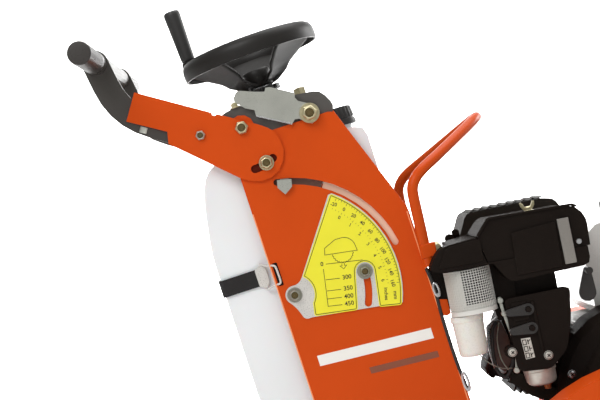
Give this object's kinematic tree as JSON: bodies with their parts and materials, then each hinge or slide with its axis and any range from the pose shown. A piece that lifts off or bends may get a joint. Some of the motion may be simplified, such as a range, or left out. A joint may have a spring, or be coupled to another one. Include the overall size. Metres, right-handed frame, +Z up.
{
  "type": "walk-behind concrete saw",
  "caption": "Walk-behind concrete saw: petrol engine on a wheeled deck, console with water tank, depth handwheel and scale, folding blade guard, raised blade.",
  "frame": {"origin": "on the ground, under the middle of the machine's length and width, blade raised", "axes": "+X is the direction of travel, +Y the operator's left, +Z up"},
  "size_m": [1.0458, 0.56, 0.9814],
  "materials": {
    "orange_paint": "gloss",
    "dark_grey_paint": "satin",
    "black_plastic": "satin",
    "black_paint": "satin",
    "black_rubber": "matte",
    "zinc_plate": "satin",
    "bright_steel": "satin",
    "cast_aluminium": "cast",
    "milky_plastic": "translucent",
    "smoky_plastic": "translucent",
    "grey_plastic": "gloss",
    "wheel_grey": "satin",
    "lever_grey": "satin"
  },
  "bodies": {
    "body": {"console_side_right": "orange_paint", "console_side_left": "orange_paint", "console_panel": "orange_paint", "top_bracket": "dark_grey_paint", "water_tank": "milky_plastic", "tank_strap": "black_rubber", "cylinder_head": "cast_aluminium", "chassis_frame": "orange_paint", "rear_axle": "bright_steel", "crankcase": "cast_aluminium", "fan_cover": "black_plastic", "recoil_starter": "black_plastic", "fuel_tank": "grey_plastic", "air_cleaner_base": "black_plastic", "air_cleaner_cover": "black_plastic", "precleaner_screen": "smoky_plastic", "dust_cup": "milky_plastic", "carburettor": "cast_aluminium", "control_cover": "black_plastic", "muffler": "black_paint", "drive_belt": "black_rubber", "belt_guard": "orange_paint", "bearing_right": "bright_steel", "bearing_left": "bright_steel", "blade_guard_rear": "orange_paint", "water_hose": "black_rubber", "lift_bail": "orange_paint"},
    "depth_frame": {"front_axle_frame": "orange_paint"},
    "front_wheel_right": {"front_wheel_right": "black_rubber"},
    "front_wheel_left": {"front_wheel_left": "black_rubber"},
    "rear_wheel_right": {"rear_tyre_right": "black_rubber", "rear_hub_right": "wheel_grey"},
    "rear_wheel_left": {"rear_tyre_left": "black_rubber", "rear_hub_left": "wheel_grey"},
    "nut": {"spindle_nut": "bright_steel"},
    "rod": {"indicator_rod": "zinc_plate"},
    "pointer": {"pointer_arm": "zinc_plate"},
    "wheel_and_spindle": {"depth_spindle": "bright_steel", "handwheel": "black_plastic"},
    "knob": {"crank_knob": "black_plastic"},
    "lock": {"lock_lever": "zinc_plate"},
    "scale": {"scale_plate": "zinc_plate"},
    "handle": {"handle_bracket_right": "orange_paint", "handle_bracket_left": "orange_paint", "handle_frame": "black_paint", "grip_right": "black_plastic", "grip_left": "black_plastic"},
    "blade": {"blade_shaft": "bright_steel", "blade_flange": "bright_steel", "saw_blade": "bright_steel", "blade_pulley": "bright_steel"},
    "crank": {"engine_pulley": "bright_steel"},
    "front_guard": {"blade_guard_front": "orange_paint"},
    "guide": {"guide_arm": "black_paint"},
    "guide_roller": {"guide_wheel": "black_rubber"},
    "water_cap": {"tank_cap": "black_plastic"},
    "petrol_cap": {"fuel_cap": "black_plastic"},
    "choke": {"choke_lever": "lever_grey"},
    "fuel_valve": {"fuel_lever": "lever_grey"},
    "throttle": {"throttle_lever": "lever_grey"}
  },
  "joints": [
    {"name": "cutting_depth", "type": "hinge", "parent": "body", "child": "depth_frame", "pos_m": [-0.08355, 0, 0.13015], "axis": [0, -1, 0], "range_deg": [0, 30.07]},
    {"name": "front_wheel_right_spin", "type": "hinge", "parent": "depth_frame", "child": "front_wheel_right", "pos_m": [0.17557, -0.172, 0.0746], "axis": [0, 1, 0], "continuous": true},
    {"name": "front_wheel_left_spin", "type": "hinge", "parent": "depth_frame", "child": "front_wheel_left", "pos_m": [0.17557, 0.172, 0.0746], "axis": [0, 1, 0], "continuous": true},
    {"name": "rear_wheel_right_spin", "type": "hinge", "parent": "body", "child": "rear_wheel_right", "pos_m": [-0.15999, -0.18, 0.0996], "axis": [0, 1, 0], "continuous": true},
    {"name": "rear_wheel_left_spin", "type": "hinge", "parent": "body", "child": "rear_wheel_left", "pos_m": [-0.15999, 0.18, 0.0996], "axis": [0, 1, 0], "continuous": true},
    {"name": "nut_travel", "type": "slide", "parent": "body", "child": "nut", "axis": [-0.342, 0, 0.9397], "range_m": [0, 0.0377]},
    {"name": "handwheel_turn", "type": "hinge", "parent": "body", "child": "wheel_and_spindle", "pos_m": [-0.29359, 0, 0.91158], "axis": [-0.342, 0, 0.9397], "range_deg": [-0.5, 2712.2]},
    {"name": "knob_spin", "type": "hinge", "parent": "wheel_and_spindle", "child": "knob", "pos_m": [-0.39852, 0, 0.94125], "axis": [-0.342, 0, 0.9397], "continuous": true},
    {"name": "indicator_rod_travel", "type": "slide", "parent": "body", "child": "rod", "axis": [0.1526, 0, -0.9883], "range_m": [0, 0.0271]},
    {"name": "pointer_swing", "type": "hinge", "parent": "body", "child": "pointer", "pos_m": [-0.22688, -0.129, 0.56774], "axis": [0, 1, 0], "range_deg": [0, 60.2]},
    {"name": "lock_lever_lift", "type": "hinge", "parent": "body", "child": "lock", "pos_m": [-0.20668, -0.14, 0.81976], "axis": [0, 1, 0], "range_deg": [0, 2]},
    {"name": "scale_set", "type": "hinge", "parent": "body", "child": "scale", "pos_m": [-0.22688, -0.136, 0.56774], "axis": [0, -1, 0], "range_deg": [0, 24]},
    {"name": "handle_height", "type": "hinge", "parent": "body", "child": "handle", "pos_m": [-0.30059, 0, 0.7993], "axis": [0, -1, 0], "range_deg": [-9.5, 17]},
    {"name": "blade_spin", "type": "hinge", "parent": "body", "child": "blade", "pos_m": [0.27589, -0.225, 0.24441], "axis": [0, 1, 0], "continuous": true},
    {"name": "crank_spin", "type": "hinge", "parent": "body", "child": "crank", "pos_m": [0.25483, 0.218, 0.4432], "axis": [0, 1, 0], "continuous": true},
    {"name": "front_guard_lift", "type": "hinge", "parent": "body", "child": "front_guard", "pos_m": [0.22475, -0.232, 0.49576], "axis": [0, -1, 0], "range_deg": [0, 55]},
    {"name": "guide_arm_fold", "type": "hinge", "parent": "body", "child": "guide", "pos_m": [0.48224, -0.1, 0.29353], "axis": [0, 1, 0], "range_deg": [0, 98]},
    {"name": "guide_wheel_spin", "type": "hinge", "parent": "guide", "child": "guide_roller", "pos_m": [0.39651, -0.225, 0.7149], "axis": [0, 1, 0], "continuous": true},
    {"name": "water_cap_turn", "type": "hinge", "parent": "body", "child": "water_cap", "pos_m": [-0.16986, -0.071, 0.81597], "axis": [-0.3123, 0, 0.95], "range_deg": [0, 360]},
    {"name": "fuel_cap_turn", "type": "hinge", "parent": "body", "child": "petrol_cap", "pos_m": [0.26068, 0.03, 0.69033], "axis": [-0.1994, 0, 0.9799], "range_deg": [0, 90]},
    {"name": "choke_turn", "type": "hinge", "parent": "body", "child": "choke", "pos_m": [0.09111, -0.17, 0.55072], "axis": [0, 1, 0], "range_deg": [0, 35]},
    {"name": "fuel_valve_turn", "type": "hinge", "parent": "body", "child": "fuel_valve", "pos_m": [0.0963, -0.17, 0.52524], "axis": [0, -1, 0], "range_deg": [0, 60]},
    {"name": "throttle_turn", "type": "hinge", "parent": "body", "child": "throttle", "pos_m": [0.17655, -0.148, 0.57218], "axis": [0, 1, 0], "range_deg": [0, 40]}
  ],
  "couplings": [
    {"joint": "nut_travel", "follows": "cutting_depth", "m_per_rad": 0.071644},
    {"joint": "handwheel_turn", "follows": "cutting_depth", "ratio": 90.03},
    {"joint": "indicator_rod_travel", "follows": "cutting_depth", "m_per_rad": 0.051408},
    {"joint": "pointer_swing", "follows": "cutting_depth", "ratio": 1.9953},
    {"joint": "crank_spin", "follows": "blade_spin", "ratio": 1.2799}
  ]
}
